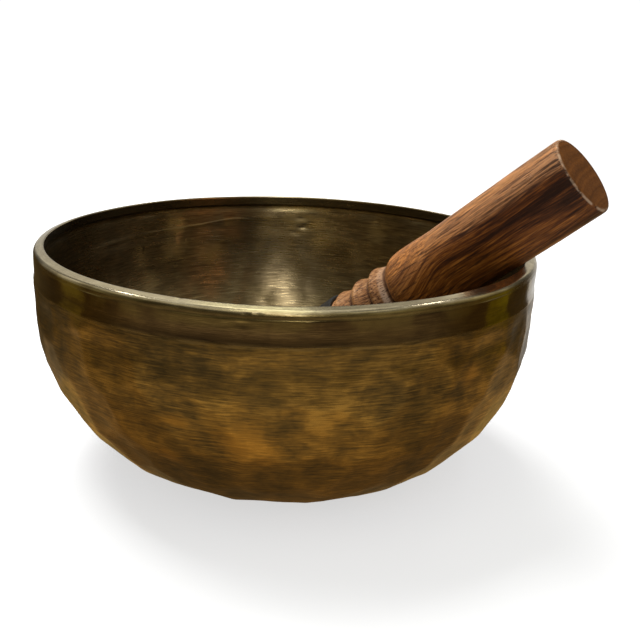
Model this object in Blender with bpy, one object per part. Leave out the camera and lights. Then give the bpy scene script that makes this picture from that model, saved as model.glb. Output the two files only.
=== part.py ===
"""Hammered bronze singing bowl with its loose wooden mallet leaning in it.

Metres, +Z up. The bowl stands on its flat base at the origin, and its axis is Z.
The mallet rests on the bowl's floor and on the inner edge of the rim at +X, -Y.
"""

import math

import bpy
from mathutils import Matrix, Vector

MM = 0.001

# Bowl
HEIGHT = 89.5 * MM            # base to the inner edge of the lip, the highest line
BELLY_RADIUS = 100.0 * MM     # widest outer radius
BELLY_HEIGHT = 74.0 * MM      # where the wall is widest
CURVE_HEIGHT = 68.5 * MM      # top of the curved lower wall
BASE_RADIUS = 46.0 * MM       # flat foot the bowl stands on
WALL = 3.2 * MM               # wall thickness near the lip
FLOOR = 2.6 * MM              # thickness of the floor
LIP_INNER_RADIUS = 95.4 * MM
LIP_OUTER_RADIUS = 99.4 * MM
LIP_DROP = 2.0 * MM           # the lip's top face falls this far towards its outer side
LIP_BAND = 4.5 * MM           # height of the smooth band inside the lip
LIP_UNDERCUT = 1.0 * MM       # the wall below the band stands back this far
BOWL_SIDES = 96

# Mallet
MALLET_LENGTH = 171.3 * MM
BODY_RADIUS = 15.3 * MM
BARE_LENGTH = 112.0 * MM      # bare wood, from the striking end to the leather
CORE_RADIUS = 14.7 * MM       # wood under the leather
GROOVE_RADIUS = 13.0 * MM
BEADS = ((83.4, 92.0, 15.2), (92.0, 101.3, 15.15), (101.3, 111.2, 15.1))
BEAD_TOP = 0.76               # how far along each bead its widest place is
MALLET_SIDES = 48

# Leather
LEATHER_RADIUS = 16.3 * MM
LEATHER_GAP = 0.3 * MM
LEATHER_END = 0.9 * MM        # wood showing past the leather at the lower end
SEAM_DEPTH = 0.6 * MM

# Where the mallet leans: the centre of its lower end, and the way it points
MALLET_TOE = (-7.95 * MM, 23.55 * MM, 14.5 * MM)
MALLET_HEADING = math.radians(-31.4)
MALLET_RISE = math.radians(40.1)


def clear_scene():
    for obj in list(bpy.data.objects):
        bpy.data.objects.remove(obj, do_unlink=True)


def material(name, colour, roughness, metallic):
    made = bpy.data.materials.new(name)
    made.use_nodes = True
    shader = made.node_tree.nodes["Principled BSDF"]
    shader.inputs["Base Color"].default_value = (*colour, 1.0)
    shader.inputs["Roughness"].default_value = roughness
    shader.inputs["Metallic"].default_value = metallic
    made.diffuse_color = (*colour, 1.0)
    return made


def lathe(name, profile, sides, look, shape=None):
    """A closed solid turned about local Z.

    The profile is a list of (radius, z). It starts and ends on the axis, or closes on itself.
    """
    points = []
    rings = []
    for radius, z in profile:
        if radius == 0.0:
            rings.append([len(points)])
            points.append((0.0, 0.0, z))
            continue
        rings.append(list(range(len(points), len(points) + sides)))
        for i in range(sides):
            angle = 2.0 * math.pi * i / sides
            r = shape(radius, z, i) if shape else radius
            points.append((r * math.cos(angle), r * math.sin(angle), z))
    faces = []
    pairs = list(zip(rings, rings[1:]))
    if profile[0][0] > 0.0:
        pairs.append((rings[-1], rings[0]))
    for lower, upper in pairs:
        for i in range(sides):
            j = (i + 1) % sides
            if len(lower) == 1:
                faces.append((lower[0], upper[j], upper[i]))
            elif len(upper) == 1:
                faces.append((lower[i], lower[j], upper[0]))
            else:
                faces.append((lower[i], lower[j], upper[j], upper[i]))
    mesh = bpy.data.meshes.new(name)
    mesh.from_pydata(points, [], faces)
    mesh.validate()
    mesh.materials.append(look)
    obj = bpy.data.objects.new(name, mesh)
    bpy.context.scene.collection.objects.link(obj)
    mesh.shade_smooth()
    mesh.set_sharp_from_angle(angle=math.radians(32.0))
    return obj


def wall_line(wall, floor, steps):
    """Points up the wall's outer line, or up its inner line when given the thicknesses."""
    base = BASE_RADIUS - 0.4 * floor
    rise = CURVE_HEIGHT - floor
    line = []
    for i in range(steps + 1):
        t = 0.5 * math.pi * i / steps
        r = base + (BELLY_RADIUS - 0.4 * MM - wall - base) * math.sin(t)
        z = floor + rise * (1.0 - math.cos(t))
        line.append((r, z))
    line.append((BELLY_RADIUS - wall, BELLY_HEIGHT))
    return line


def bowl():
    """Cast and hammered bronze, one piece: foot, curved wall, thick rolled lip."""
    inner_top = HEIGHT - LIP_BAND
    profile = [(0.0, 0.0)]
    profile += wall_line(0.0, 0.0, 11)
    profile += [
        (BELLY_RADIUS - 0.2 * MM, 81.0 * MM),
        (LIP_OUTER_RADIUS + 0.3 * MM, HEIGHT - LIP_DROP - 1.0 * MM),
        (LIP_OUTER_RADIUS - 0.3 * MM, HEIGHT - LIP_DROP - 0.1 * MM),
        (LIP_OUTER_RADIUS - 1.0 * MM, HEIGHT - LIP_DROP + 0.5 * MM),
        (LIP_INNER_RADIUS + 0.3 * MM, HEIGHT),
        (LIP_INNER_RADIUS, HEIGHT - 0.3 * MM),
        (LIP_INNER_RADIUS, inner_top),
        (LIP_INNER_RADIUS + LIP_UNDERCUT, inner_top - 0.6 * MM),
    ]
    profile += reversed(wall_line(WALL, FLOOR, 11))
    profile += [(0.0, FLOOR)]
    look = material("bronze", (0.36, 0.24, 0.10), 0.32, 1.0)
    return lathe("bowl", profile, BOWL_SIDES, look)


def bead(start, end, peak):
    """One ring of the turned grip: it swells slowly, then drops steeply to its groove."""
    line = []
    for t in (0.22, 0.42, 0.60, BEAD_TOP, 0.88, 0.96):
        if t <= BEAD_TOP:
            share = (t / BEAD_TOP) ** 1.5
        else:
            share = (1.0 - ((t - BEAD_TOP) / (1.0 - BEAD_TOP)) ** 2.2) ** 0.6
        r = GROOVE_RADIUS + (peak * MM - GROOVE_RADIUS) * share
        line.append(((start + (end - start) * t) * MM, r))
    return line


def wood_line():
    """(distance from the striking end, radius) along the turned wood."""
    line = [
        (0.0, BODY_RADIUS - 1.1 * MM),
        (0.3 * MM, BODY_RADIUS - 0.5 * MM),
        (1.1 * MM, BODY_RADIUS),
        (20.0 * MM, BODY_RADIUS + 0.1 * MM),
        (45.0 * MM, BODY_RADIUS - 0.15 * MM),
        (62.0 * MM, BODY_RADIUS - 0.35 * MM),
        (71.0 * MM, BODY_RADIUS + 0.1 * MM),
        (78.0 * MM, BODY_RADIUS + 0.2 * MM),
        (81.4 * MM, BODY_RADIUS - 0.5 * MM),
        (82.8 * MM, BODY_RADIUS - 1.6 * MM),
    ]
    for start, end, peak in BEADS:
        line.append((start * MM, GROOVE_RADIUS))
        line += bead(start, end, peak)
    line += [
        (BEADS[-1][1] * MM, GROOVE_RADIUS),
        (BARE_LENGTH + 0.2 * MM, CORE_RADIUS),
        (MALLET_LENGTH - 0.8 * MM, CORE_RADIUS),
        (MALLET_LENGTH, CORE_RADIUS - 0.8 * MM),
    ]
    return line


def mallet_wood():
    """Turned hardwood: plain striking end, rounded shoulder, three beads, core for the leather."""
    profile = [(0.0, 0.0)]
    profile += [(r, MALLET_LENGTH - s) for s, r in reversed(wood_line())]
    profile += [(0.0, MALLET_LENGTH)]
    look = material("rosewood", (0.22, 0.09, 0.04), 0.45, 0.0)
    return lathe("mallet_wood", profile, MALLET_SIDES, look)


def seam(radius, z, index):
    """The leather's two edges meet in one shallow groove along the sleeve."""
    if index == 12 and radius > CORE_RADIUS + 0.5 * MM:
        return radius - SEAM_DEPTH
    return radius


def leather_sleeve():
    """Black leather wrapped round the lower half and glued, its edges butted."""
    inside = CORE_RADIUS + LEATHER_GAP
    top = MALLET_LENGTH - BARE_LENGTH - 0.6 * MM
    profile = [
        (inside, LEATHER_END),
        (LEATHER_RADIUS - 0.5 * MM, LEATHER_END),
        (LEATHER_RADIUS, LEATHER_END + 0.5 * MM),
        (LEATHER_RADIUS, top - 0.5 * MM),
        (LEATHER_RADIUS - 0.5 * MM, top),
        (inside, top),
    ]
    look = material("black_leather", (0.015, 0.014, 0.013), 0.6, 0.0)
    return lathe("leather_sleeve", profile, MALLET_SIDES, look, seam)


def lean(obj):
    """Puts a piece made along local Z where the mallet rests."""
    flat = math.cos(MALLET_RISE)
    along = Vector((
        flat * math.cos(MALLET_HEADING),
        flat * math.sin(MALLET_HEADING),
        math.sin(MALLET_RISE),
    ))
    side = Vector((-math.sin(MALLET_HEADING), math.cos(MALLET_HEADING), 0.0))
    up = along.cross(side)
    turn = Matrix((side, up, along)).transposed()
    if turn.determinant() < 0.0:
        turn = Matrix((side, -up, along)).transposed()
    obj.matrix_world = Matrix.Translation(MALLET_TOE) @ turn.to_4x4()


clear_scene()
bowl()
lean(mallet_wood())
lean(leather_sleeve())
bpy.context.view_layer.update()
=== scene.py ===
"""Hammered bronze singing bowl with its loose rosewood mallet: the visual model and its studio.

Metres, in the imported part's own frame: the bowl's base is centred on the origin, +Z is up and
the front is -Y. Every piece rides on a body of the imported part.
"""
import math

import bpy
import numpy as np
from mathutils import Matrix, Vector

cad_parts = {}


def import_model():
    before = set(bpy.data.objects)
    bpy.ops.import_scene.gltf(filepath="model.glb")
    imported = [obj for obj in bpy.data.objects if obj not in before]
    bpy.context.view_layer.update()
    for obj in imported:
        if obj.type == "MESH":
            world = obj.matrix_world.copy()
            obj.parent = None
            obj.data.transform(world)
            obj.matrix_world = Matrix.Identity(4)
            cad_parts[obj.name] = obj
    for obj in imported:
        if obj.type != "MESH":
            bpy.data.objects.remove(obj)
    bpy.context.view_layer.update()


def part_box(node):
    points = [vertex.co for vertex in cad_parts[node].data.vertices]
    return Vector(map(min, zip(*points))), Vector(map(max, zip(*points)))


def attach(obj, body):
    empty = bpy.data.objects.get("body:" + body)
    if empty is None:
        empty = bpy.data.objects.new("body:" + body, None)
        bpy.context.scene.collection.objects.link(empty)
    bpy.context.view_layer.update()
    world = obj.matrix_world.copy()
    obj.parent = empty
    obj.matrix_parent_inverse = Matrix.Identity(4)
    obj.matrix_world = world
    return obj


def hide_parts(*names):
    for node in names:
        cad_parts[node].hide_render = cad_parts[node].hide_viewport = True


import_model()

_, bowl_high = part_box("bowl")

MM = 0.001

# Bowl, in millimetres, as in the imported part. Heights are above the foot.
HEIGHT = bowl_high.z / MM
BELLY = bowl_high.x / MM
BELLY_Z = 74.0     # where the wall is first at its widest
CURVE_Z = 68.5     # top of the curved lower wall
BASE = 46.0        # radius of the flat foot
WALL = 3.2
FLOOR = 2.6
LIP_IN = 95.4
LIP_OUT = 99.4
LIP_BAND = 4.5
UNDERCUT = 1.0
LIP_TILT = math.radians(15.5)
LIP_ROUND = 2.2    # radius of the lip's outer corner
BOWL_SIDES = 600

# Mallet, in millimetres along its own axis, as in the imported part, except that the core and
# the leather are a little thinner. Distances along it start at the striking end.
LENGTH = 171.3
BODY = 15.3
BARE = 112.0       # wood that shows above the leather
CORE = 14.0        # radius of the wood under the leather
GROOVE = 13.0      # radius between the beads
# each bead's start, end and greatest radius
BEADS = ((83.4, 92.0, 15.2), (92.0, 101.3, 15.15), (101.3, 111.2, 15.1))
LEATHER = 15.75    # outer radius
LEATHER_GAP = 0.3
LEATHER_END = 0.9  # wood past the leather at the lower end
LEATHER_SIDES = 260
WOOD_SIDES = 240
TOE = Vector((-7.95, 23.55, 14.5)) * MM
HEADING = math.radians(-31.4)
RISE = math.radians(40.1)

# One seed for each piece's unevenness
BOWL_SEED = 11
WOOD_SEED = 5
LEATHER_SEED = 23


# ---------------------------------------------------------------- shapes

def smooth(a, b, x):
    t = np.clip((np.asarray(x, float) - a) / (b - a), 0.0, 1.0)
    return t * t * (3.0 - 2.0 * t)


def resample(points, step):
    """The same line with its points about step apart. Corners stay where they are."""
    points = np.array(points, float)
    out = [points[:1]]
    for a, b in zip(points, points[1:]):
        n = max(1, int(math.ceil(np.linalg.norm(b - a) / step)))
        out.append(a + (b - a) * (np.arange(1, n + 1) / n)[:, None])
    return np.concatenate(out)


def normals_of(line):
    """Outward normals of a profile that goes out along the foot, up the outside and down the
    inside."""
    tangent = np.gradient(line, axis=0)
    tangent /= np.maximum(np.linalg.norm(tangent, axis=1), 1e-12)[:, None]
    return np.stack([tangent[:, 1], -tangent[:, 0]], 1)


def turned(name, line, sides, shape):
    """A closed body turned about local Z from a profile in mm that starts and ends on the axis.

    shape(points, normals, arc, angle) gives each point's way out along its normal, in mm.
    """
    r, z = line[1:-1, 0], line[1:-1, 1]
    normal = normals_of(line)[1:-1]
    arc = np.concatenate([[0.0], np.cumsum(np.linalg.norm(np.diff(line, axis=0), axis=1))])
    angle = 2.0 * math.pi * np.arange(sides) / sides
    c, s = np.cos(angle), np.sin(angle)
    rings = len(r)
    points = np.stack([np.outer(r, c), np.outer(r, s), np.outer(z, np.ones(sides))], -1)
    out = np.stack([np.outer(normal[:, 0], c), np.outer(normal[:, 0], s),
                    np.outer(normal[:, 1], np.ones(sides))], -1)
    along = np.outer(arc[1:-1], np.ones(sides))
    points = shape(points, out, along, np.outer(np.ones(rings), angle))
    ends = np.array([[0.0, 0.0, line[0, 1]], [0.0, 0.0, line[-1, 1]]])
    ends[0, 2] = points[0, :, 2].mean()
    ends[1, 2] = points[-1, :, 2].mean()
    coords = np.concatenate([points.reshape(-1, 3), ends]) * MM
    i = np.arange(rings - 1)[:, None] * sides
    j = np.arange(sides)[None, :]
    k = (j + 1) % sides
    quads = np.stack([i + j, i + k, i + sides + k, i + sides + j], -1).reshape(-1, 4)
    j, k = j[0], k[0]
    first, last = rings * sides, rings * sides + 1
    low = np.stack([k, j, np.full(sides, first)], -1)
    top = np.stack([(rings - 1) * sides + j, (rings - 1) * sides + k, np.full(sides, last)], -1)
    mesh = bpy.data.meshes.new(name)
    faces = quads.tolist() + low.tolist() + top.tolist()
    mesh.from_pydata(coords.tolist(), [], faces)
    mesh.update()
    values = np.concatenate([along.reshape(-1), [arc[0], arc[-1]]]).astype(np.float32)
    mesh.attributes.new("arc", "FLOAT", "POINT").data.foreach_set("value", values)
    mesh.shade_smooth()
    obj = bpy.data.objects.new(name, mesh)
    bpy.context.scene.collection.objects.link(obj)
    return obj


def scattered(rng, count, spread, place):
    """Up to count random points of place(rng), none nearer to another than spread."""
    kept = np.zeros((0, 3))
    for _ in range(count * 12):
        p = place(rng)
        if len(kept) == 0 or ((kept - p) ** 2).sum(1).min() > spread * spread:
            kept = np.vstack([kept, p])
            if len(kept) == count:
                break
    return kept


def blows(points, centres, lift, radius, soft):
    """Height of a surface left by round hammer blows: low in each blow, raised where they meet."""
    flat = points.reshape(-1, 3)
    out = np.empty(len(flat))
    square = (centres ** 2).sum(1)
    for a in range(0, len(flat), 8192):
        p = flat[a:a + 8192]
        d = (p ** 2).sum(1)[:, None] + square[None] - 2.0 * p @ centres.T
        q = d / (2.0 * radius) + lift[None]
        least = q.min(1)
        out[a:a + 8192] = least - np.log(np.exp(-(q - least[:, None]) * soft).sum(1)) / soft
    return out.reshape(points.shape[:2])


def waves(rng, angle, other, count, most_round, most_along):
    """A smooth random field over the angle (whole turns) and one other coordinate."""
    total = np.zeros(np.broadcast(angle, other).shape)
    for _ in range(count):
        turns = rng.integers(0, most_round + 1)
        rate = rng.uniform(-most_along, most_along)
        total += np.cos(turns * angle + rate * other + rng.uniform(0.0, 2.0 * math.pi))
    return total / math.sqrt(count)


# ---------------------------------------------------------------- bowl

def wall_line(wall, floor, steps):
    base = BASE - 0.4 * floor
    t = np.linspace(0.0, 0.5 * math.pi, steps + 1)
    r = base + (BELLY - 0.4 - wall - base) * np.sin(t)
    z = floor + (CURVE_Z - floor) * (1.0 - np.cos(t))
    return [*zip(r, z), (BELLY - wall, BELLY_Z)]


def bowl_profile():
    top = HEIGHT
    outside = [(0.0, 0.0), (BASE - 3.0, 0.0), *wall_line(0.0, 0.0, 40)]
    outside += [
        (BELLY, 76.4), (BELLY - 0.02, 77.2), (BELLY - 0.22, 78.2), (BELLY - 0.3, 80.0),
        (BELLY - 0.32, 82.5), (BELLY - 0.40, 84.4), (LIP_OUT + 0.14, 85.7),
    ]
    turn = math.radians(90.0) - LIP_TILT
    out_r = LIP_OUT + 0.12
    edge_z = top - 0.70
    lip = []
    for a in turn * np.linspace(0.0, 1.0, 15):
        lip.append((out_r - LIP_ROUND * (1.0 - math.cos(a)),
                    edge_z + LIP_ROUND * (math.sin(a) - math.sin(turn))))
    edge_r = lip[-1][0]
    level_r = LIP_IN + 0.7
    level_z = edge_z + (edge_r - level_r) * math.tan(LIP_TILT)
    lip += [(level_r + 0.3, level_z - 0.3 * math.tan(LIP_TILT)), (level_r, level_z),
            (LIP_IN + 0.4, level_z + 0.07), (LIP_IN + 0.2, level_z + 0.04),
            (LIP_IN + 0.06, level_z - 0.08), (LIP_IN, level_z - 0.3), (LIP_IN, level_z - 0.7)]
    band = top - LIP_BAND
    inside = [
        (LIP_IN + 0.1, band + 0.35),
        (LIP_IN + 0.35, band + 0.05),
        (LIP_IN + UNDERCUT - 0.1, band - 0.35),
        (LIP_IN + UNDERCUT + 0.15, band - 0.8),
        (LIP_IN + UNDERCUT + 0.3, band - 1.8),
    ]
    inside += [*reversed(wall_line(WALL, FLOOR, 40)), (BASE - 6.0, FLOOR), (0.0, FLOOR)]
    parts = [
        resample(outside, 1.1),
        resample([outside[-1], *lip], 0.30)[1:],
        resample([lip[-1], *inside[:5]], 0.4)[1:],
        resample(inside[4:], 1.1)[1:],
    ]
    line = np.concatenate(parts)
    zone = np.concatenate([np.full(len(p), i) for i, p in enumerate(parts)])
    return line, zone


bowl_line, bowl_zone = bowl_profile()
steps = np.linalg.norm(np.diff(bowl_line, axis=0), axis=1)
# way along the profile, from the foot's middle to where the lip starts
lip_from = float(steps[:np.argmax(bowl_zone == 1)].sum())


def shape_bowl(points, out, arc, angle):
    rng = np.random.default_rng(BOWL_SEED)
    zone = bowl_zone[1:-1][:, None] * np.ones_like(arc)
    z = points[..., 2]

    def on_outside(g):
        if g.uniform() < 0.12:
            rr, zz = BASE * math.sqrt(g.uniform()), 0.0
        else:
            t = math.acos(1.0 - g.uniform())
            rr, zz = BASE + (BELLY - BASE) * math.sin(t), CURVE_Z * (1.0 - math.cos(t)) * 1.14
        a = g.uniform(0.0, 2.0 * math.pi)
        return np.array([rr * math.cos(a), rr * math.sin(a), zz])

    def field(count, spread, radius, soft, scale, where):
        centres = scattered(rng, count, spread, on_outside) * scale
        made = blows(points, centres, rng.uniform(0.0, 0.10, len(centres)), radius, soft)
        return made - np.median(made[zone == where])

    broad = field(300, 14.5, 98.0, 13.0, 1.0, 0)
    small = field(760, 8.0, 100.0, 26.0, 1.0, 0)
    within = field(300, 13.5, 190.0, 20.0, 0.965, 3)

    # the wall is left as turned near the lip, and hammered below
    body = smooth(77.5, 71.0, z)
    foot = smooth(0.0, 7.0, z)
    shape_bowl.hollows = np.where(zone == 0, broad + small, within)
    push = (zone == 0) * (broad + 0.75 * small) * (0.06 + 0.94 * body) * (0.25 + 0.75 * foot)
    push += (zone == 3) * within * smooth(86.0, 77.0, z) * (0.4 + 0.6 * foot)
    sway = waves(rng, angle, z, 9, 5, 0.05) * 0.16 * smooth(0.0, 30.0, z)
    ripple = waves(rng, angle, z, 14, 26, 0.35) * 0.016 * smooth(74.0, 78.0, z)
    push += (sway + ripple) * ((zone == 0) - 1.0 * (zone == 3)) * smooth(85.5, 78.0, z)

    def mark(around, height, wide, tall, depth, on):
        """A pit or nick; around is degrees from the front, to the right."""
        a = math.radians(around - 90.0)
        off = (np.angle(np.exp(1j * (angle - a))) * BELLY / wide) ** 2
        return -depth * np.exp(-off - ((z - height) / tall) ** 2) * on

    push += mark(-6.8, 87.5, 0.7, 0.45, 0.22, (zone == 1))
    push += mark(-4.6, 87.7, 0.6, 0.4, 0.18, (zone == 1))
    push += mark(-7.5, 84.3, 2.6, 0.45, 0.20, (zone == 0))
    push += mark(-10.5, 83.6, 0.9, 0.5, 0.16, (zone == 0))
    push += mark(-19.8, 89.5, 0.9, 0.8, 0.18, (zone >= 1))
    push += mark(-38.0, 82.8, 0.9, 0.9, 0.20, (zone == 0))
    push += mark(-1.6, 69.6, 2.2, 0.7, 0.22, (zone == 0))
    push += mark(-3.2, 67.6, 1.2, 1.0, 0.20, (zone == 0))
    for around, height, wide, tall, depth in (
            (175.0, 78.8, 3.6, 0.9, 0.40), (174.2, 74.2, 3.0, 1.0, 0.55),
            (177.0, 71.0, 2.4, 0.9, 0.35), (172.5, 76.6, 2.2, 0.8, 0.35),
            (214.0, 70.0, 1.3, 2.4, 0.40), (199.0, 73.0, 1.8, 1.1, 0.30),
            (152.0, 79.5, 1.2, 1.6, 0.35)):
        push += mark(around, height, wide, tall, depth, (zone == 3))
    # a shallow crease left by a blow that slipped
    around = np.degrees(np.angle(np.exp(1j * (angle - math.radians(110.0)))))
    line = 76.5 - 0.10 * around + 1.6 * np.exp(-((around + 4.0) / 9.0) ** 2)
    crease = 0.22 * np.exp(-((z - line) / 0.75) ** 2) * smooth(34.0, 24.0, np.abs(around - 12.0))
    push += crease * (zone == 3)

    # the rim is not quite level: it dips towards the front
    front = np.angle(np.exp(1j * (angle + math.radians(96.0))))
    rim = waves(rng, angle, 0.0 * z, 7, 9, 0.0) * 0.06
    rim -= 0.50 * np.exp(-(front / math.radians(27.0)) ** 2)
    made = points + out * push[..., None]
    made[..., 2] += rim * smooth(66.0, 86.0, z)
    # below the belly it is a little fuller, and leans a little to one side
    full = 0.7 * np.exp(-((z - 46.0) / 17.0) ** 2) * ((zone == 0) + (zone == 3))
    made[..., 0] += full * np.cos(angle) + 0.5 * smooth(58.0, 36.0, z)
    made[..., 1] += full * np.sin(angle)
    return made


def make_bowl():
    obj = turned("bronze_bowl", bowl_line, BOWL_SIDES, shape_bowl)
    values = np.concatenate([shape_bowl.hollows.reshape(-1), [0.0, 0.0]]).astype(np.float32)
    obj.data.attributes.new("hollow", "FLOAT", "POINT").data.foreach_set("value", values)
    faces = len(bowl_line) - 3
    slots = np.repeat(np.array([0, 1, 2, 2])[bowl_zone[2:-1][:faces]], BOWL_SIDES)
    slots = np.concatenate([slots, np.full(BOWL_SIDES, 0), np.full(BOWL_SIDES, 2)])
    obj.data.polygons.foreach_set("material_index", slots.astype(np.int32))
    return obj


# ---------------------------------------------------------------- mallet

def bead(start, end, peak):
    """Each bead swells slowly away from the striking end and drops steeply to its groove."""
    t = np.linspace(0.0, 1.0, 41)[1:-1]
    most = 0.76
    up = np.clip(t / most, 0.0, 1.0) ** 1.5
    down = (1.0 - np.clip((t - most) / (1.0 - most), 0.0, 1.0) ** 2.2) ** 0.60
    r = GROOVE + (peak - GROOVE) * np.where(t < most, up, down)
    return list(zip(start + (end - start) * t, r))


def wood_profile():
    """(distance from the striking end, radius) along the wood, in mm."""
    ends = [
        (0.2, 0.0), (0.2, 6.0), (0.22, 11.0), (0.26, BODY - 1.6), (0.36, BODY - 0.95),
        (0.58, BODY - 0.55), (0.9, BODY - 0.3), (1.4, BODY - 0.17), (2.2, BODY - 0.12),
    ]
    s = np.linspace(3.4, 83.1, 84)
    knots = [0.0, 20.0, 45.0, 62.0, 71.0, 77.0, 79.8, 81.6, 82.6, 83.1]
    radii = [-0.12, 0.05, -0.15, -0.35, 0.1, 0.22, -0.10, -0.75, -1.55, -2.3]
    body = BODY + np.interp(s, knots, radii)
    body = np.convolve(np.pad(body, 2, "edge"), np.array([1, 2, 3, 2, 1]) / 9.0, "valid")
    line = ends + list(zip(s, body))
    for a, b, peak in BEADS:
        line += [(a, GROOVE)] + bead(a, b, peak)
    line += [(BEADS[-1][1], GROOVE), (BARE + 0.2, CORE), (BARE + 6.0, CORE), (LENGTH - 0.9, CORE)]
    line += [(LENGTH - 0.4, CORE - 0.25), (LENGTH - 0.1, CORE - 0.6), (LENGTH, CORE - 1.2)]
    line += [(LENGTH, 6.0), (LENGTH, 0.0)]
    line = np.array(line[::-1])
    return np.stack([line[:, 1], LENGTH - line[:, 0]], 1)


def shape_wood(points, out, arc, angle):
    rng = np.random.default_rng(WOOD_SEED)
    z = points[..., 2]
    bare = smooth(LENGTH - BARE - 1.0, LENGTH - BARE + 3.0, z) * smooth(LENGTH, LENGTH - 4.0, z)
    sway = waves(rng, angle, z, 8, 3, 0.09) * 0.07
    return points + out * (sway * bare)[..., None]


def leather_profile():
    """A ring's profile in mm, closed on itself: inside up, and the outside down."""
    inside = CORE + LEATHER_GAP
    low, top = LEATHER_END, LENGTH - BARE - 0.6
    line = [
        (inside, low + 0.2), (inside + 0.25, low), (LEATHER - 0.55, low),
        (LEATHER - 0.2, low + 0.15),
        (LEATHER - 0.03, low + 0.5), (LEATHER, low + 1.1), (LEATHER, top - 1.1),
        (LEATHER - 0.03, top - 0.5), (LEATHER - 0.2, top - 0.15), (LEATHER - 0.55, top),
        (inside + 0.25, top), (inside, top - 0.2), (inside, low + 0.2),
    ]
    return resample(line, 0.9)


def make_leather():
    sides = LEATHER_SIDES
    line = leather_profile()[:-1]
    rings = len(line)
    angle = 2.0 * math.pi * np.arange(sides) / sides
    rng = np.random.default_rng(LEATHER_SEED)
    z = line[:, 1][:, None]
    r = line[:, 0][:, None] * np.ones((1, sides))
    on_outside = smooth(CORE + 0.9, LEATHER - 0.2, r)
    seam_at = 2.0 * math.pi * 12 / 48
    off = (angle - seam_at) * LEATHER
    groove = -0.62 * np.exp(-(off / 0.32) ** 2) + 0.13 * np.exp(-((np.abs(off) - 1.2) / 0.6) ** 2)
    sway = waves(rng, angle[None, :], z, 12, 6, 0.25) * 0.05
    r = r + on_outside * (groove[None, :] + sway - 0.05)
    coords = np.stack([r * np.cos(angle), r * np.sin(angle), z * np.ones((1, sides))], -1)
    i = np.arange(rings)[:, None]
    j = np.arange(sides)[None, :]
    ii, jj = (i + 1) % rings, (j + 1) % sides
    quads = np.stack([i * sides + j, i * sides + jj, ii * sides + jj, ii * sides + j], -1)
    mesh = bpy.data.meshes.new("leather_wrap")
    mesh.from_pydata((coords.reshape(-1, 3) * MM).tolist(), [], quads.reshape(-1, 4).tolist())
    mesh.update()
    mesh.shade_smooth()
    obj = bpy.data.objects.new("leather_wrap", mesh)
    bpy.context.scene.collection.objects.link(obj)
    return obj


def mallet_place():
    """From the mallet's own axes, toe at the origin and Z along it, to where it rests."""
    along = Vector((math.cos(RISE) * math.cos(HEADING), math.cos(RISE) * math.sin(HEADING),
                    math.sin(RISE)))
    side = Vector((-math.sin(HEADING), math.cos(HEADING), 0.0))
    return Matrix.Translation(TOE) @ Matrix((side, along.cross(side), along)).transposed().to_4x4()


# ---------------------------------------------------------------- materials

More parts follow.
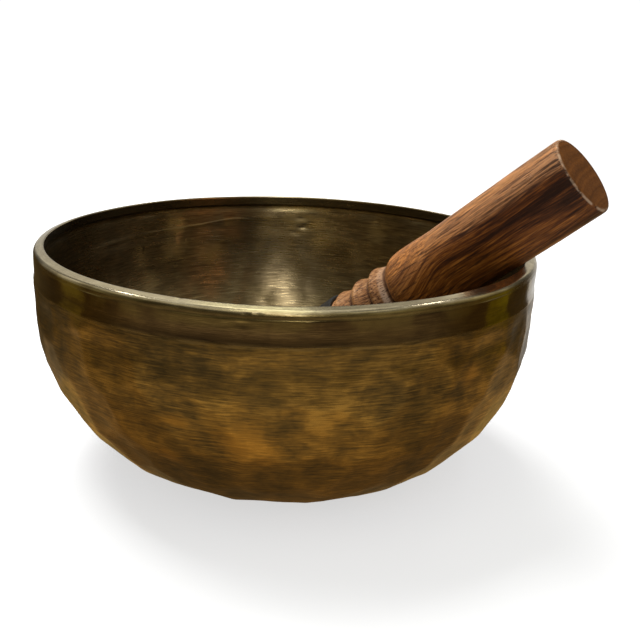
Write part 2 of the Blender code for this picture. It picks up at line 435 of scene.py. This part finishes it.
class Graph:
    """Short names for building a node tree."""

    def __init__(self, tree):
        self.tree = tree
        self.nodes = tree.nodes
        self.links = tree.links

    def node(self, kind, **settings):
        made = self.nodes.new(kind)
        for name, value in settings.items():
            setattr(made, name, value)
        return made

    def plug(self, socket, value):
        if isinstance(value, bpy.types.NodeSocket):
            self.links.new(value, socket)
        elif value is not None:
            socket.default_value = value

    def math(self, operation, a, b=None):
        made = self.node("ShaderNodeMath", operation=operation)
        for socket, value in zip(made.inputs, (a, b)):
            self.plug(socket, value)
        return made.outputs[0]

    def span(self, value, low, high, to_low=0.0, to_high=1.0, kind="SMOOTHSTEP"):
        made = self.node("ShaderNodeMapRange", interpolation_type=kind, clamp=True)
        for name, v in zip(("Value", "From Min", "From Max", "To Min", "To Max"),
                           (value, low, high, to_low, to_high)):
            self.plug(made.inputs[name], v)
        return made.outputs["Result"]

    def vector(self, x, y, z):
        made = self.node("ShaderNodeCombineXYZ")
        for socket, value in zip(made.inputs, (x, y, z)):
            self.plug(socket, value)
        return made.outputs[0]

    def split(self, vector):
        made = self.node("ShaderNodeSeparateXYZ")
        self.plug(made.inputs[0], vector)
        return made.outputs

    def scaled(self, vector, by):
        made = self.node("ShaderNodeVectorMath", operation="MULTIPLY")
        self.plug(made.inputs[0], vector)
        self.plug(made.inputs[1], by)
        return made.outputs[0]

    def added(self, a, b):
        made = self.node("ShaderNodeVectorMath", operation="ADD")
        self.plug(made.inputs[0], a)
        self.plug(made.inputs[1], b)
        return made.outputs[0]

    def noise(self, vector, scale, detail=3.0, rough=0.55, warp=0.0, colour=False):
        made = self.node("ShaderNodeTexNoise", noise_dimensions="3D")
        self.plug(made.inputs["Vector"], vector)
        made.inputs["Scale"].default_value = scale
        made.inputs["Detail"].default_value = detail
        made.inputs["Roughness"].default_value = rough
        made.inputs["Distortion"].default_value = warp
        return made.outputs["Color" if colour else "Fac"]

    def line_noise(self, w, scale, detail=3.0, rough=0.55):
        made = self.node("ShaderNodeTexNoise", noise_dimensions="1D")
        self.plug(made.inputs["W"], w)
        made.inputs["Scale"].default_value = scale
        made.inputs["Detail"].default_value = detail
        made.inputs["Roughness"].default_value = rough
        return made.outputs["Fac"]

    def ramp(self, value, stops):
        made = self.node("ShaderNodeValToRGB")
        points = made.color_ramp.elements
        while len(points) < len(stops):
            points.new(0.5)
        for point, (at, colour) in zip(points, stops):
            point.position = at
            point.color = (*colour, 1.0)
        self.plug(made.inputs[0], value)
        return made.outputs["Color"]

    def mix(self, share, a, b, kind="MIX"):
        made = self.node("ShaderNodeMix", data_type="RGBA", blend_type=kind, clamp_factor=True)
        self.plug(made.inputs[0], share)
        for socket, value in zip((made.inputs[6], made.inputs[7]), (a, b)):
            if isinstance(value, tuple) and len(value) == 3:
                value = (*value, 1.0)
            self.plug(socket, value)
        return made.outputs[2]

    def attribute(self, name):
        made = self.node("ShaderNodeAttribute", attribute_name=name)
        return made.outputs["Fac"]

    def bump(self, height, distance, strength=1.0, normal=None):
        made = self.node("ShaderNodeBump")
        made.inputs["Strength"].default_value = strength
        made.inputs["Distance"].default_value = distance
        self.plug(made.inputs["Height"], height)
        self.plug(made.inputs["Normal"], normal)
        return made.outputs["Normal"]

    @property
    def place(self):
        return self.node("ShaderNodeTexCoord").outputs["Object"]

    @property
    def mallet(self):
        """Object coordinates turned back to the mallet's own axes."""
        made = self.node("ShaderNodeMapping", vector_type="TEXTURE")
        self.plug(made.inputs["Vector"], self.place)
        made.inputs["Location"].default_value = mallet_place().to_translation()
        made.inputs["Rotation"].default_value = mallet_place().to_euler()
        return made.outputs[0]


def new_material(name, colour):
    made = bpy.data.materials.new(name)
    made.use_nodes = True
    made.diffuse_color = (*colour, 1.0)
    shader = made.node_tree.nodes["Principled BSDF"]
    return made, Graph(made.node_tree), shader


def round_and_round(g, place, turns, fine):
    """Coordinates that run round the axis slowly and across it quickly, for turned brushing."""
    x, y, _ = g.split(place)
    angle_at = g.node("ShaderNodeVectorMath", operation="NORMALIZE")
    g.plug(angle_at.inputs[0], g.vector(x, y, 0.0))
    flat = g.scaled(angle_at.outputs[0], (turns, turns, 0.0))
    return g.added(flat, g.vector(0.0, 0.0, g.math("MULTIPLY", g.attribute("arc"), fine)))


def spots(g, place, scale, radius, share):
    """Soft round spots: 1 inside, 0 outside, on this share of the cells."""
    cells = g.node("ShaderNodeTexVoronoi", feature="SMOOTH_F1")
    g.plug(cells.inputs["Vector"], place)
    cells.inputs["Scale"].default_value = scale
    cells.inputs["Smoothness"].default_value = 0.35
    inside = g.span(cells.outputs["Distance"], radius, radius * 0.35)
    pick = g.span(g.split(cells.outputs["Color"])[0], 1.0 - share, 1.0 - share + 0.15)
    return g.math("MULTIPLY", inside, pick)


def bronze(name, where):
    """Bronze under a hand-rubbed patina; where is outside, lip or inside."""
    material, g, shader = new_material(name, (0.30, 0.20, 0.08))
    place = g.place
    z = g.split(place)[2]
    warp = g.scaled(g.added(g.noise(place, 60.0, 2.0, 0.5, colour=True), (-0.5, -0.5, -0.5)),
                    (0.010, 0.010, 0.007))
    bent = g.added(place, warp)
    large = g.noise(bent, 24.0, 2.0, 0.5)
    blob = g.noise(bent, 68.0, 3.0, 0.5)
    small = g.noise(g.scaled(bent, (1.0, 1.0, 1.5)), 180.0, 3.0, 0.6)
    streak = g.noise(round_and_round(g, place, 11.0, 1.1), 1.0, 3.0, 0.6)
    hair = g.noise(round_and_round(g, place, 13.0, 2.3), 1.0, 2.0, 0.6)
    long_streak = g.noise(round_and_round(g, place, 4.0, 0.5), 1.0, 3.0, 0.6)
    grain = g.noise(place, 900.0, 2.0, 0.6)
    lines = g.math("ADD", g.math("MULTIPLY", streak, 0.55), g.math("MULTIPLY", hair, 0.45))

    def weigh(*pairs):
        total = 0.0
        for field, weight in pairs:
            part = g.math("MULTIPLY", g.math("SUBTRACT", field, 0.5), weight)
            total = g.math("ADD", total, part)
        return g.math("ADD", total, 0.5)

    def worn(around, height, wide, tall):
        """A ragged patch, round the bowl by this angle from the front and at this height."""
        x, y, _ = g.split(place)
        a = math.radians(around - 90.0)
        way = (math.cos(a), math.sin(a))
        across = g.math("SUBTRACT", g.math("MULTIPLY", y, way[0]), g.math("MULTIPLY", x, way[1]))
        facing = g.math("ADD", g.math("MULTIPLY", x, way[0]), g.math("MULTIPLY", y, way[1]))
        u = g.math("DIVIDE", across, wide)
        v = g.math("DIVIDE", g.math("SUBTRACT", z, height), tall)
        away = g.math("SQRT", g.math("ADD", g.math("MULTIPLY", u, u), g.math("MULTIPLY", v, v)))
        away = g.math("ADD", away, g.math("MULTIPLY", g.math("SUBTRACT", 0.5, streak), 1.6))
        away = g.math("ADD", away, g.math("MULTIPLY", g.math("SUBTRACT", 0.5, blob), 1.4))
        return g.math("MULTIPLY", g.span(away, 1.35, 0.1), g.span(facing, 0.0, 0.02))

    if where == "outside":
        band = g.span(g.math("ADD", z, g.math("MULTIPLY", g.math("SUBTRACT", blob, 0.5), 0.0012)),
                      0.0763, 0.0773)
        low = g.span(g.attribute("hollow"), -0.16, 0.22, kind="LINEAR")
        tone = weigh((large, 0.42), (blob, 0.46), (small, 0.44), (streak, 0.34), (hair, 0.70),
                     (low, 0.10))
        colour = g.ramp(tone, [
            (0.28, (0.110, 0.080, 0.036)),
            (0.42, (0.200, 0.135, 0.048)),
            (0.56, (0.310, 0.196, 0.056)),
            (0.72, (0.520, 0.325, 0.084)),
        ])
        dark = g.math("MULTIPLY", spots(g, bent, 62.0, 0.62, 0.42), 0.36)
        dark = g.math("ADD", dark, g.math("MULTIPLY", g.span(low, 0.36, 0.12), 0.10))
        colour = g.mix(dark, colour, (0.105, 0.080, 0.036))
        # the metal is rubbed back to bright gold on a few of the high places
        for spot in ((-6.5, 0.0405, 0.012, 0.0085), (-24.0, 0.031, 0.0045, 0.003),
                     (40.0, 0.061, 0.0045, 0.004), (-21.0, 0.0470, 0.007, 0.0028),
                     (118.0, 0.050, 0.014, 0.009), (-120.0, 0.044, 0.012, 0.01),
                     (72.0, 0.040, 0.010, 0.008), (166.0, 0.055, 0.012, 0.007)):
            colour = g.mix(g.math("MULTIPLY", worn(*spot), 0.40), colour, (0.80, 0.43, 0.075))
        tone_b = weigh((large, 0.6), (blob, 0.5), (streak, 0.32), (hair, 0.36), (small, 0.25))
        colour_b = g.ramp(tone_b, [
            (0.28, (0.120, 0.080, 0.040)),
            (0.50, (0.205, 0.138, 0.062)),
            (0.72, (0.340, 0.235, 0.095)),
        ])
        # olive and gold just under the lip, partly wear, partly painted highlight fading down from
        # the lip; and a painted highlight, a thin bright line where the turned band ends
        under = g.math("MULTIPLY", g.span(z, 0.0800, 0.0845), g.span(blob, 0.44, 0.62))
        colour_b = g.mix(g.math("MULTIPLY", under, 0.55), colour_b, (0.46, 0.36, 0.13))
        colour = g.mix(band, colour, colour_b)
        # painted highlight: the thin bright line at the band's lower edge
        line = g.math("MULTIPLY", g.span(z, 0.0752, 0.0762), g.span(z, 0.0778, 0.0768))
        line = g.math("MULTIPLY", line, g.span(streak, 0.40, 0.60))
        colour = g.mix(g.math("MULTIPLY", line, 0.40), colour, (0.50, 0.36, 0.15))
        rough = g.span(tone, 0.25, 0.75, 0.38, 0.27, "LINEAR")
        rough = g.math("ADD", rough, g.math("MULTIPLY", dark, 0.10))
        rough_b = g.span(tone_b, 0.3, 0.7, 0.16, 0.09, "LINEAR")
        share = g.node("ShaderNodeMix", data_type="FLOAT")
        for socket, value in zip(share.inputs[:1] + share.inputs[2:4], (band, rough, rough_b)):
            g.plug(socket, value)
        rough = share.outputs[0]
        brushed, turned_by, fine = 0.55, 0.40, 0.00009
    elif where == "lip":
        tone = weigh((long_streak, 0.5), (hair, 0.4), (small, 0.4))
        colour = g.ramp(tone, [
            (0.28, (0.40, 0.33, 0.22)),
            (0.50, (0.56, 0.47, 0.31)),
            (0.72, (0.76, 0.66, 0.46)),
        ])
        rough = g.span(tone, 0.3, 0.7, 0.23, 0.15, "LINEAR")
        # the polish wears away down the rounded corner
        uneven = g.math("MULTIPLY", g.math("SUBTRACT", blob, 0.5), 2.6)
        arc = g.math("ADD", g.attribute("arc"), uneven)
        dull = g.span(arc, lip_from + 3.1, lip_from + 1.5)
        under = g.ramp(weigh((large, 0.6), (blob, 0.6), (streak, 0.4), (hair, 0.3)), [
            (0.30, (0.150, 0.105, 0.048)),
            (0.50, (0.270, 0.200, 0.082)),
            (0.70, (0.460, 0.360, 0.140)),
        ])
        colour = g.mix(dull, colour, under)
        rough = g.math("ADD", rough, g.math("MULTIPLY", dull, 0.05))
        brushed, turned_by, fine = 0.22, 0.1, 0.00005
    else:
        tone = weigh((large, 0.46), (blob, 0.40), (long_streak, 0.46), (streak, 0.52), (hair, 0.58))
        colour = g.ramp(tone, [
            (0.25, (0.150, 0.108, 0.056)),
            (0.43, (0.260, 0.195, 0.106)),
            (0.58, (0.390, 0.300, 0.165)),
            (0.76, (0.600, 0.475, 0.270)),
        ])
        # painted highlights: bright gold patches on the inner wall, partly rubbed metal and partly
        # painted reflections of the lights, such as the wide band just under the lip at the back
        for around, height, wide, tall, share in (
                (214.0, 0.0770, 0.006, 0.006, 0.80), (215.0, 0.0650, 0.007, 0.007, 0.50),
                (223.4, 0.0520, 0.005, 0.006, 0.45), (226.0, 0.0640, 0.005, 0.007, 0.40),
                (176.0, 0.0835, 0.014, 0.0022, 0.90), (175.0, 0.0765, 0.010, 0.0055, 0.60),
                (168.0, 0.0690, 0.010, 0.006, 0.30), (203.0, 0.0610, 0.009, 0.005, 0.30),
                (152.0, 0.0740, 0.006, 0.007, 0.30)):
            colour = g.mix(g.math("MULTIPLY", worn(around, height, wide, tall), share), colour,
                           (0.92, 0.72, 0.36))
        # painted dark reflections: two large dark patches on the inner wall; the small dark marks
        # sit on pits and nicks
        for around, height, wide, tall, share in (
                (191.0, 0.0720, 0.009, 0.012, 0.55), (164.0, 0.0610, 0.008, 0.008, 0.55),
                (175.4, 0.0742, 0.0030, 0.0009, 0.85), (175.8, 0.0788, 0.0030, 0.0007, 0.75),
                (225.0, 0.0672, 0.0010, 0.0026, 0.75), (172.6, 0.0768, 0.0022, 0.0006, 0.6)):
            colour = g.mix(g.math("MULTIPLY", worn(around, height, wide, tall), share), colour,
                           (0.100, 0.070, 0.036))
        # a painted highlight: a pale line along the crease where a blow slipped
        x, y, _ = g.split(place)
        turn = g.math("SUBTRACT", g.math("ARCTAN2", y, x), 1.92)
        swing = g.span(g.math("ABSOLUTE", g.math("ADD", turn, 0.07)), 0.24, 0.0, 0.0, 0.0017)
        off = g.math("SUBTRACT", z, g.math("ADD", g.math("MULTIPLY", turn, -0.0035), swing))
        off = g.math("ADD", off, g.math("MULTIPLY", g.math("SUBTRACT", blob, 0.5), 0.0014))
        off = g.math("ABSOLUTE", g.math("SUBTRACT", off, 0.0762))
        crease_highlight = g.math("MULTIPLY", g.span(off, 0.00055, 0.0001),
                      g.span(g.math("ABSOLUTE", g.math("SUBTRACT", turn, 0.13)), 0.34, 0.22))
        colour = g.mix(g.math("MULTIPLY", crease_highlight, 0.75), colour, (0.90, 0.76, 0.48))
        # painted shade: darker under the lip, where the undercut is in shadow
        colour = g.mix(g.math("MULTIPLY", g.span(z, 0.0838, 0.0852), 0.75), colour,
                       (0.060, 0.046, 0.022))
        rough = g.span(tone, 0.25, 0.75, 0.37, 0.23, "LINEAR")
        brushed, turned_by, fine = 0.8, 0.65, 0.00010
    g.plug(shader.inputs["Base Color"], colour)
    g.plug(shader.inputs["Roughness"], rough)
    shader.inputs["Metallic"].default_value = 1.0
    shader.inputs["Anisotropic"].default_value = turned_by
    shader.inputs["Anisotropic Rotation"].default_value = 0.25
    tangent = g.node("ShaderNodeTangent", direction_type="RADIAL", axis="Z")
    g.plug(shader.inputs["Tangent"], tangent.outputs[0])
    normal = g.bump(lines, fine, brushed)
    normal = g.bump(grain, 0.00002, 0.35, normal)
    normal = g.bump(small, 0.0004, 0.12, normal)
    g.plug(shader.inputs["Normal"], normal)
    return material


def wood():
    """Oiled rosewood: flat-sawn streaks along it, paler turned beads, plain end grain."""
    material, g, shader = new_material("rosewood_turned", (0.2, 0.08, 0.035))
    place = g.mallet
    z0 = g.split(place)[2]
    low = g.noise(g.scaled(place, (26.0, 26.0, 11.0)), 1.0, 2.0, 0.5, 0.0, colour=True)
    warp = g.scaled(g.added(low, (-0.5, -0.5, -0.5)), (0.009, 0.009, 0.0))
    bent = g.added(place, warp)
    x, y, z = g.split(bent)
    y = g.math("ADD", y, g.span(z0, 0.116, 0.090, 0.0, 0.0075))
    away_x = g.math("SUBTRACT", x, 0.002)
    away_y = g.math("ADD", y, 0.060)
    ring = g.math("SQRT", g.math("ADD", g.math("MULTIPLY", away_x, away_x),
                                 g.math("MULTIPLY", away_y, away_y)))
    bands = g.line_noise(ring, 420.0, 3.0, 0.6)
    seen = g.vector(ring, g.math("MULTIPLY", away_x, 0.5), g.math("MULTIPLY", z, 0.030))
    fibre = g.noise(seen, 2300.0, 4.0, 0.7)
    coarse = g.noise(g.scaled(seen, (1.0, 0.6, 1.25)), 560.0, 5.0, 0.7, 0.6)
    vein = g.vector(ring, g.math("MULTIPLY", away_x, 0.5), g.math("MULTIPLY", z, 0.045))
    vein = g.span(g.noise(vein, 4600.0, 3.0, 0.65), 0.37, 0.45, 1.0, 0.0)
    pores = g.noise(g.scaled(place, (1900.0, 1900.0, 75.0)), 1.0, 2.0, 0.6)
    broad = g.noise(g.scaled(place, (60.0, 60.0, 14.0)), 1.0, 2.0, 0.5)
    edge = g.math("ADD", ring, g.math("MULTIPLY", g.math("SUBTRACT", coarse, 0.5), 0.010))
    heart = g.math("MULTIPLY", g.span(edge, 0.0545, 0.0590), g.span(edge, 0.0690, 0.0655))
    # partly sapwood, partly painted sheen: a paler strip along the mallet's upper side
    sap_and_sheen = g.math("MULTIPLY", g.span(edge, 0.0665, 0.0705), g.span(z0, 0.100, 0.124, 0.35, 0.8))
    tone = g.math("ADD", g.math("MULTIPLY", bands, 0.20), g.math("MULTIPLY", fibre, 0.56))
    tone = g.math("ADD", tone, g.math("MULTIPLY", coarse, 0.34))
    tone = g.math("ADD", tone, g.math("MULTIPLY", g.math("SUBTRACT", broad, 0.5), 0.25))
    tone = g.math("SUBTRACT", tone, g.math("MULTIPLY", heart, 0.060))
    tone = g.math("ADD", tone, g.math("MULTIPLY", g.span(heart, 0.5, 0.0),
                                      g.span(z0, 0.130, 0.100, 0.0, 0.020)))
    tone = g.math("ADD", tone, g.span(z0, 0.172, 0.095, -0.094, -0.014))
    tone = g.math("ADD", tone, g.span(ring, 0.0480, 0.0530, -0.026, 0.0))
    colour = g.ramp(tone, [
        (0.36, (0.020, 0.0070, 0.0030)),
        (0.44, (0.066, 0.0190, 0.0040)),
        (0.52, (0.165, 0.0520, 0.0075)),
        (0.66, (0.400, 0.1500, 0.0270)),
    ])
    colour = g.mix(g.math("MULTIPLY", sap_and_sheen, g.span(fibre, 0.26, 0.56, 0.05, 0.58)), colour,
                   (0.340, 0.180, 0.085))
    colour = g.mix(g.math("MULTIPLY", vein, 0.55), colour, (0.026, 0.009, 0.0035))
    bead = g.math("MULTIPLY", g.span(z0, 0.0886, 0.0880), g.span(z0, 0.0563, 0.0569))
    tan = g.ramp(g.math("ADD", g.math("MULTIPLY", coarse, 0.5), g.math("MULTIPLY", pores, 0.5)), [
        (0.34, (0.038, 0.0135, 0.0048)),
        (0.46, (0.128, 0.053, 0.018)),
        (0.60, (0.245, 0.128, 0.054)),
    ])
    colour = g.mix(g.math("MULTIPLY", bead, 0.9), colour, tan)
    pale = g.math("MULTIPLY", g.span(z0, 0.0872, 0.0864), g.span(z0, 0.0838, 0.0848))
    pale = g.math("MULTIPLY", pale, g.span(fibre, 0.30, 0.46))
    pale = g.math("MULTIPLY", pale, g.span(g.split(place)[1], 0.010, 0.000, 0.25, 1.0))
    colour = g.mix(g.math("MULTIPLY", pale, 0.85), colour, (0.36, 0.255, 0.18))
    x0, y0, _ = g.split(place)
    out = g.math("SQRT", g.math("ADD", g.math("MULTIPLY", x0, x0), g.math("MULTIPLY", y0, y0)))
    # painted shade: the grooves between the beads are darkened
    groove_shade = g.math("MULTIPLY", bead, g.span(out, 0.0133, 0.01306))
    colour = g.mix(g.math("MULTIPLY", groove_shade, 0.8), colour, (0.030, 0.012, 0.006))
    dark_pores = g.span(pores, 0.38, 0.47, 1.0, 0.0)
    colour = g.mix(g.math("MULTIPLY", dark_pores, 0.7), colour, (0.018, 0.007, 0.004))
    end = g.span(z0, 0.17070, 0.17098)
    ends = g.ramp(g.noise(place, 1300.0, 3.0, 0.6), [
        (0.30, (0.066, 0.021, 0.0022)),
        (0.70, (0.118, 0.039, 0.0045)),
    ])
    rings = g.span(bands, 0.35, 0.65, 0.75, 1.15, "LINEAR")
    ends = g.mix(1.0, ends, g.vector(rings, rings, rings), "MULTIPLY")
    colour = g.mix(end, colour, ends)
    worn = g.math("MULTIPLY", g.span(z0, 0.17020, 0.17060), g.span(z0, 0.17104, 0.17086))
    worn = g.math("MULTIPLY", worn, g.span(g.noise(place, 300.0, 4.0, 0.7), 0.38, 0.60))
    colour = g.mix(g.math("MULTIPLY", worn, 0.6), colour, (0.40, 0.28, 0.18))
    g.plug(shader.inputs["Base Color"], colour)
    rough = g.span(tone, 0.35, 0.65, 0.48, 0.36, "LINEAR")
    g.plug(shader.inputs["Roughness"], g.math("ADD", rough, g.math("MULTIPLY", end, 0.42)))
    shader.inputs["Specular IOR Level"].default_value = 0.13
    height = g.math("SUBTRACT", g.math("MULTIPLY", fibre, 0.5), dark_pores)
    g.plug(shader.inputs["Normal"], g.bump(height, 0.00012, 0.45))
    return material


def leather():
    material, g, shader = new_material("black_leather_wrap", (0.012, 0.011, 0.010))
    place = g.mallet
    cells = g.node("ShaderNodeTexVoronoi", feature="DISTANCE_TO_EDGE")
    g.plug(cells.inputs["Vector"], place)
    cells.inputs["Scale"].default_value = 1500.0
    creases = g.span(cells.outputs["Distance"], 0.0, 0.12)
    broad = g.noise(place, 160.0, 3.0, 0.6)
    worn = g.span(broad, 0.52, 0.74)
    colour = g.mix(g.math("MULTIPLY", worn, 0.6), (0.006, 0.0055, 0.005), (0.024, 0.021, 0.018))
    g.plug(shader.inputs["Base Color"], colour)
    g.plug(shader.inputs["Roughness"], g.span(broad, 0.3, 0.7, 0.62, 0.42, "LINEAR"))
    normal = g.bump(creases, 0.00008, 0.6)
    g.plug(shader.inputs["Normal"], g.bump(broad, 0.0006, 0.25, normal))
    return material


# ---------------------------------------------------------------- studio

def pale_floor():
    """A pale disc, fading into the pale surroundings."""
    mesh = bpy.data.meshes.new("studio_floor")
    sides = 96
    radius = 2.0
    ring = [(radius * math.cos(2 * math.pi * i / sides),
             radius * math.sin(2 * math.pi * i / sides), 0.0) for i in range(sides)]
    mesh.from_pydata(ring, [], [tuple(range(sides))])
    obj = bpy.data.objects.new("studio_floor", mesh)
    obj.location.z = -0.0001
    bpy.context.scene.collection.objects.link(obj)
    material, g, shader = new_material("pale_floor", (0.9, 0.9, 0.9))
    place = g.place
    soft = g.noise(place, 1.5, 2.0)
    g.plug(shader.inputs["Base Color"], g.ramp(soft, [(0.0, (0.80, 0.80, 0.80)),
                                                      (1.0, (0.83, 0.83, 0.83))]))
    shader.inputs["Roughness"].default_value = 0.9
    shader.inputs["Specular IOR Level"].default_value = 0.0
    length = g.node("ShaderNodeVectorMath", operation="LENGTH")
    g.plug(length.inputs[0], place)
    path = g.node("ShaderNodeLightPath")
    seen = g.span(length.outputs["Value"], 0.35, 1.1)
    # part of its light is its own, which keeps the shadow pale
    own = g.node("ShaderNodeEmission")
    own.inputs["Strength"].default_value = 1.0
    lit = g.node("ShaderNodeMixShader")
    lit.inputs[0].default_value = 0.62
    g.links.new(shader.outputs[0], lit.inputs[1])
    g.links.new(own.outputs[0], lit.inputs[2])
    clear = g.node("ShaderNodeBsdfTransparent")
    mixed = g.node("ShaderNodeMixShader")
    share = g.math("MAXIMUM", seen, path.outputs["Is Glossy Ray"])
    g.plug(mixed.inputs[0], share)
    g.links.new(lit.outputs[0], mixed.inputs[1])
    g.links.new(clear.outputs[0], mixed.inputs[2])
    g.links.new(mixed.outputs[0], g.nodes["Material Output"].inputs["Surface"])
    mesh.materials.append(material)


def world():
    """Seen directly it is plain white. Seen in the metal it is a room: a pale backdrop behind the
    bowl, a dark front, and a warm table below."""
    made = bpy.data.worlds.new("studio")
    bpy.context.scene.world = made
    made.use_nodes = True
    g = Graph(made.node_tree)
    ground = g.nodes["Background"]
    direction = g.node("ShaderNodeTexCoord").outputs["Generated"]
    x, y, z = g.split(direction)
    height = g.span(z, -1.0, 1.0, 0.0, 1.0, "LINEAR")
    below = g.ramp(height, [
        (0.00, (0.47, 0.33, 0.17)),
        (0.125, (0.50, 0.37, 0.21)),
        (0.20, (0.54, 0.44, 0.29)),
        (0.285, (0.50, 0.41, 0.30)),
        (0.320, (0.34, 0.28, 0.20)),
        (0.350, (0.20, 0.16, 0.11)),
        (0.42, (0.17, 0.135, 0.095)),
        (0.50, (0.10, 0.085, 0.065)),
    ])
    side = g.ramp(height, [
        (0.20, (0.36, 0.25, 0.13)),
        (0.26, (0.42, 0.30, 0.16)),
        (0.285, (0.36, 0.26, 0.15)),
        (0.315, (0.24, 0.175, 0.095)),
        (0.340, (0.15, 0.105, 0.050)),
        (0.420, (0.10, 0.075, 0.040)),
    ])
    below = g.mix(g.span(y, -0.55, -0.05), below, side)
    under = g.math("MULTIPLY", g.span(y, -0.60, 0.40), g.span(z, -0.52, -0.74))
    below = g.mix(g.math("MULTIPLY", under, 0.92), below, (0.14, 0.085, 0.032))
    glow = g.math("MULTIPLY", g.span(y, 0.40, 0.76), g.span(z, -0.66, -0.52))
    glow = g.math("MULTIPLY", glow, g.span(z, -0.41, -0.50))
    below = g.mix(glow, below, (0.62, 0.39, 0.10))
    dim = g.math("MULTIPLY", g.span(y, -0.40, 0.10), g.span(z, -0.372, -0.335))
    below = g.mix(dim, below, (0.080, 0.052, 0.018))
    back = g.ramp(height, [
        (0.50, (0.16, 0.155, 0.150)),
        (0.60, (0.30, 0.29, 0.275)),
        (0.80, (0.42, 0.41, 0.40)),
        (1.00, (0.55, 0.55, 0.55)),
    ])
    front = g.ramp(height, [
        (0.50, (0.110, 0.096, 0.070)),
        (0.75, (0.175, 0.158, 0.120)),
        (1.00, (0.50, 0.50, 0.47)),
    ])
    above = g.mix(g.span(y, -0.30, 0.30), front, back)
    patches = g.noise(g.scaled(direction, (3.6, 3.6, 1.3)), 1.0, 2.0, 0.5)
    patches = g.span(patches, 0.43, 0.61, 0.42, 1.8)
    above = g.mix(1.0, above, g.vector(patches, patches, g.math("MULTIPLY", patches, 0.92)),
                  "MULTIPLY")
    room = g.mix(g.span(z, -0.04, 0.06), below, above)
    # two olive-gold cards at the sides
    for card_x, card_y, low, tint in ((0.953, 0.302, -0.300, (0.17, 0.14, 0.010)),
                                      (-0.965, 0.262, -0.281, (0.16, 0.122, 0.028))):
        flat = g.node("ShaderNodeVectorMath", operation="NORMALIZE")
        g.plug(flat.inputs[0], g.vector(x, y, 0.0))
        fx, fy, _ = g.split(flat.outputs[0])
        near = g.math("ADD", g.math("MULTIPLY", fx, card_x), g.math("MULTIPLY", fy, card_y))
        card = g.math("MULTIPLY", g.span(near, 0.9855, 0.9915), g.span(z, low - 0.012, low))
        card = g.math("MULTIPLY", card, g.span(z, 0.0, -0.08))
        room = g.mix(card, room, tint)
    behind = g.math("ADD", y, g.math("MULTIPLY", x, 0.165))
    behind = g.math("MULTIPLY", g.span(behind, 0.840, 0.868), g.span(z, -0.36, -0.30, 0.0, 1.0))
    behind = g.math("MULTIPLY", behind, g.span(z, 0.16, 0.02, 0.0, 1.0))
    room = g.mix(behind, room, (0.72, 0.71, 0.68))
    g.plug(ground.inputs["Color"], room)
    ground.inputs["Strength"].default_value = 1.0
    path = g.node("ShaderNodeLightPath")
    last = ground.outputs[0]
    for kind, bright in (("Is Diffuse Ray", 0.52), ("Is Camera Ray", 1.05)):
        plain = g.node("ShaderNodeBackground")
        plain.inputs["Color"].default_value = (1.0, 1.0, 1.0, 1.0)
        plain.inputs["Strength"].default_value = bright
        both = g.node("ShaderNodeMixShader")
        g.links.new(path.outputs[kind], both.inputs[0])
        g.links.new(last, both.inputs[1])
        g.links.new(plain.outputs[0], both.inputs[2])
        last = both.outputs[0]
    g.links.new(last, g.nodes["World Output"].inputs["Surface"])


def soft_light(name, place, target, size, power, colour=(1.0, 1.0, 1.0), lean=0.0):
    data = bpy.data.lights.new(name, "AREA")
    data.shape = "RECTANGLE"
    data.size, data.size_y = size
    data.energy = power
    data.color = colour
    obj = bpy.data.objects.new(name, data)
    obj.location = place
    way = Vector(target) - Vector(place)
    spin = Matrix.Rotation(math.radians(lean), 3, "Z")
    obj.rotation_euler = (way.to_track_quat("-Z", "Y").to_matrix() @ spin).to_euler()
    bpy.context.scene.collection.objects.link(obj)
    return obj


def camera():
    """Stands 0.4 m in front, 19 degrees up, turned a little so that the bowl sits left and low."""
    data = bpy.data.cameras.new("view")
    data.sensor_width = 36.0
    data.lens = 53.18
    data.shift_x = 0.0583
    data.shift_y = 0.0347
    data.clip_start = 0.01
    obj = bpy.data.objects.new("view", data)
    unit = 0.0996
    distance, rise, roll = 4.0 * unit, math.radians(18.74), math.radians(1.53)
    middle = 0.4485 * unit
    obj.location = (0.0, -distance * math.cos(rise), middle + distance * math.sin(rise))
    look = Matrix.Rotation(math.radians(90.0) - rise, 3, "X")
    obj.rotation_euler = (look @ Matrix.Rotation(roll, 3, "Z")).to_euler()
    bpy.context.scene.collection.objects.link(obj)
    bpy.context.scene.camera = obj


# ---------------------------------------------------------------- the scene

bowl = make_bowl()
mallet = turned("mallet_rosewood", wood_profile(), WOOD_SIDES, shape_wood)
wrap = make_leather()
for piece in (mallet, wrap):
    piece.data.transform(mallet_place())
    piece.data.update()

for where in ("outside", "lip", "inside"):
    bowl.data.materials.append(bronze("bronze_" + where, where))
mallet.data.materials.append(wood())
wrap.data.materials.append(leather())

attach(bowl, "bowl")
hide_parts("bowl")
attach(mallet, "mallet")
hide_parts("mallet_wood")
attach(wrap, "mallet")
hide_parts("leather_sleeve")

pale_floor()
world()
camera()
# the two large lights don't show in the metal, and the five cards and strips do
for place, size, power in (((-0.35, 0.55, 1.10), (0.9, 0.9), 42.0),
                           ((0.9, -0.5, 1.1), (1.2, 1.2), 3.5)):
    lamp = soft_light("soft", place, (0.0, 0.0, 0.05), size, power)
    lamp.visible_glossy = False
soft_light("long_card", (-0.05, 0.34, 1.14), (0.0, -0.08, 0.09), (0.27, 0.86), 1.15,
           (0.97, 1.0, 0.76))
soft_light("top_card", (-0.09, -0.42, 1.15), (0.0, -0.06, 0.08), (0.36, 0.70), 1.2,
           (1.0, 0.97, 0.74))
soft_light("front_strip", (0.02, -1.05, 0.78), (0.0, 0.0, 0.03), (0.17, 0.85), 1.75, lean=15.0)
soft_light("left_small", (-0.61, 0.43, 1.02), (0.0, 0.0, 0.09), (0.20, 0.05), 0.6)
soft_light("right_small", (0.59, 0.39, 1.05), (0.0, 0.0, 0.09), (0.20, 0.05), 0.6)

bpy.context.scene.view_settings.view_transform = "Standard"
bpy.context.scene.view_settings.look = "None"
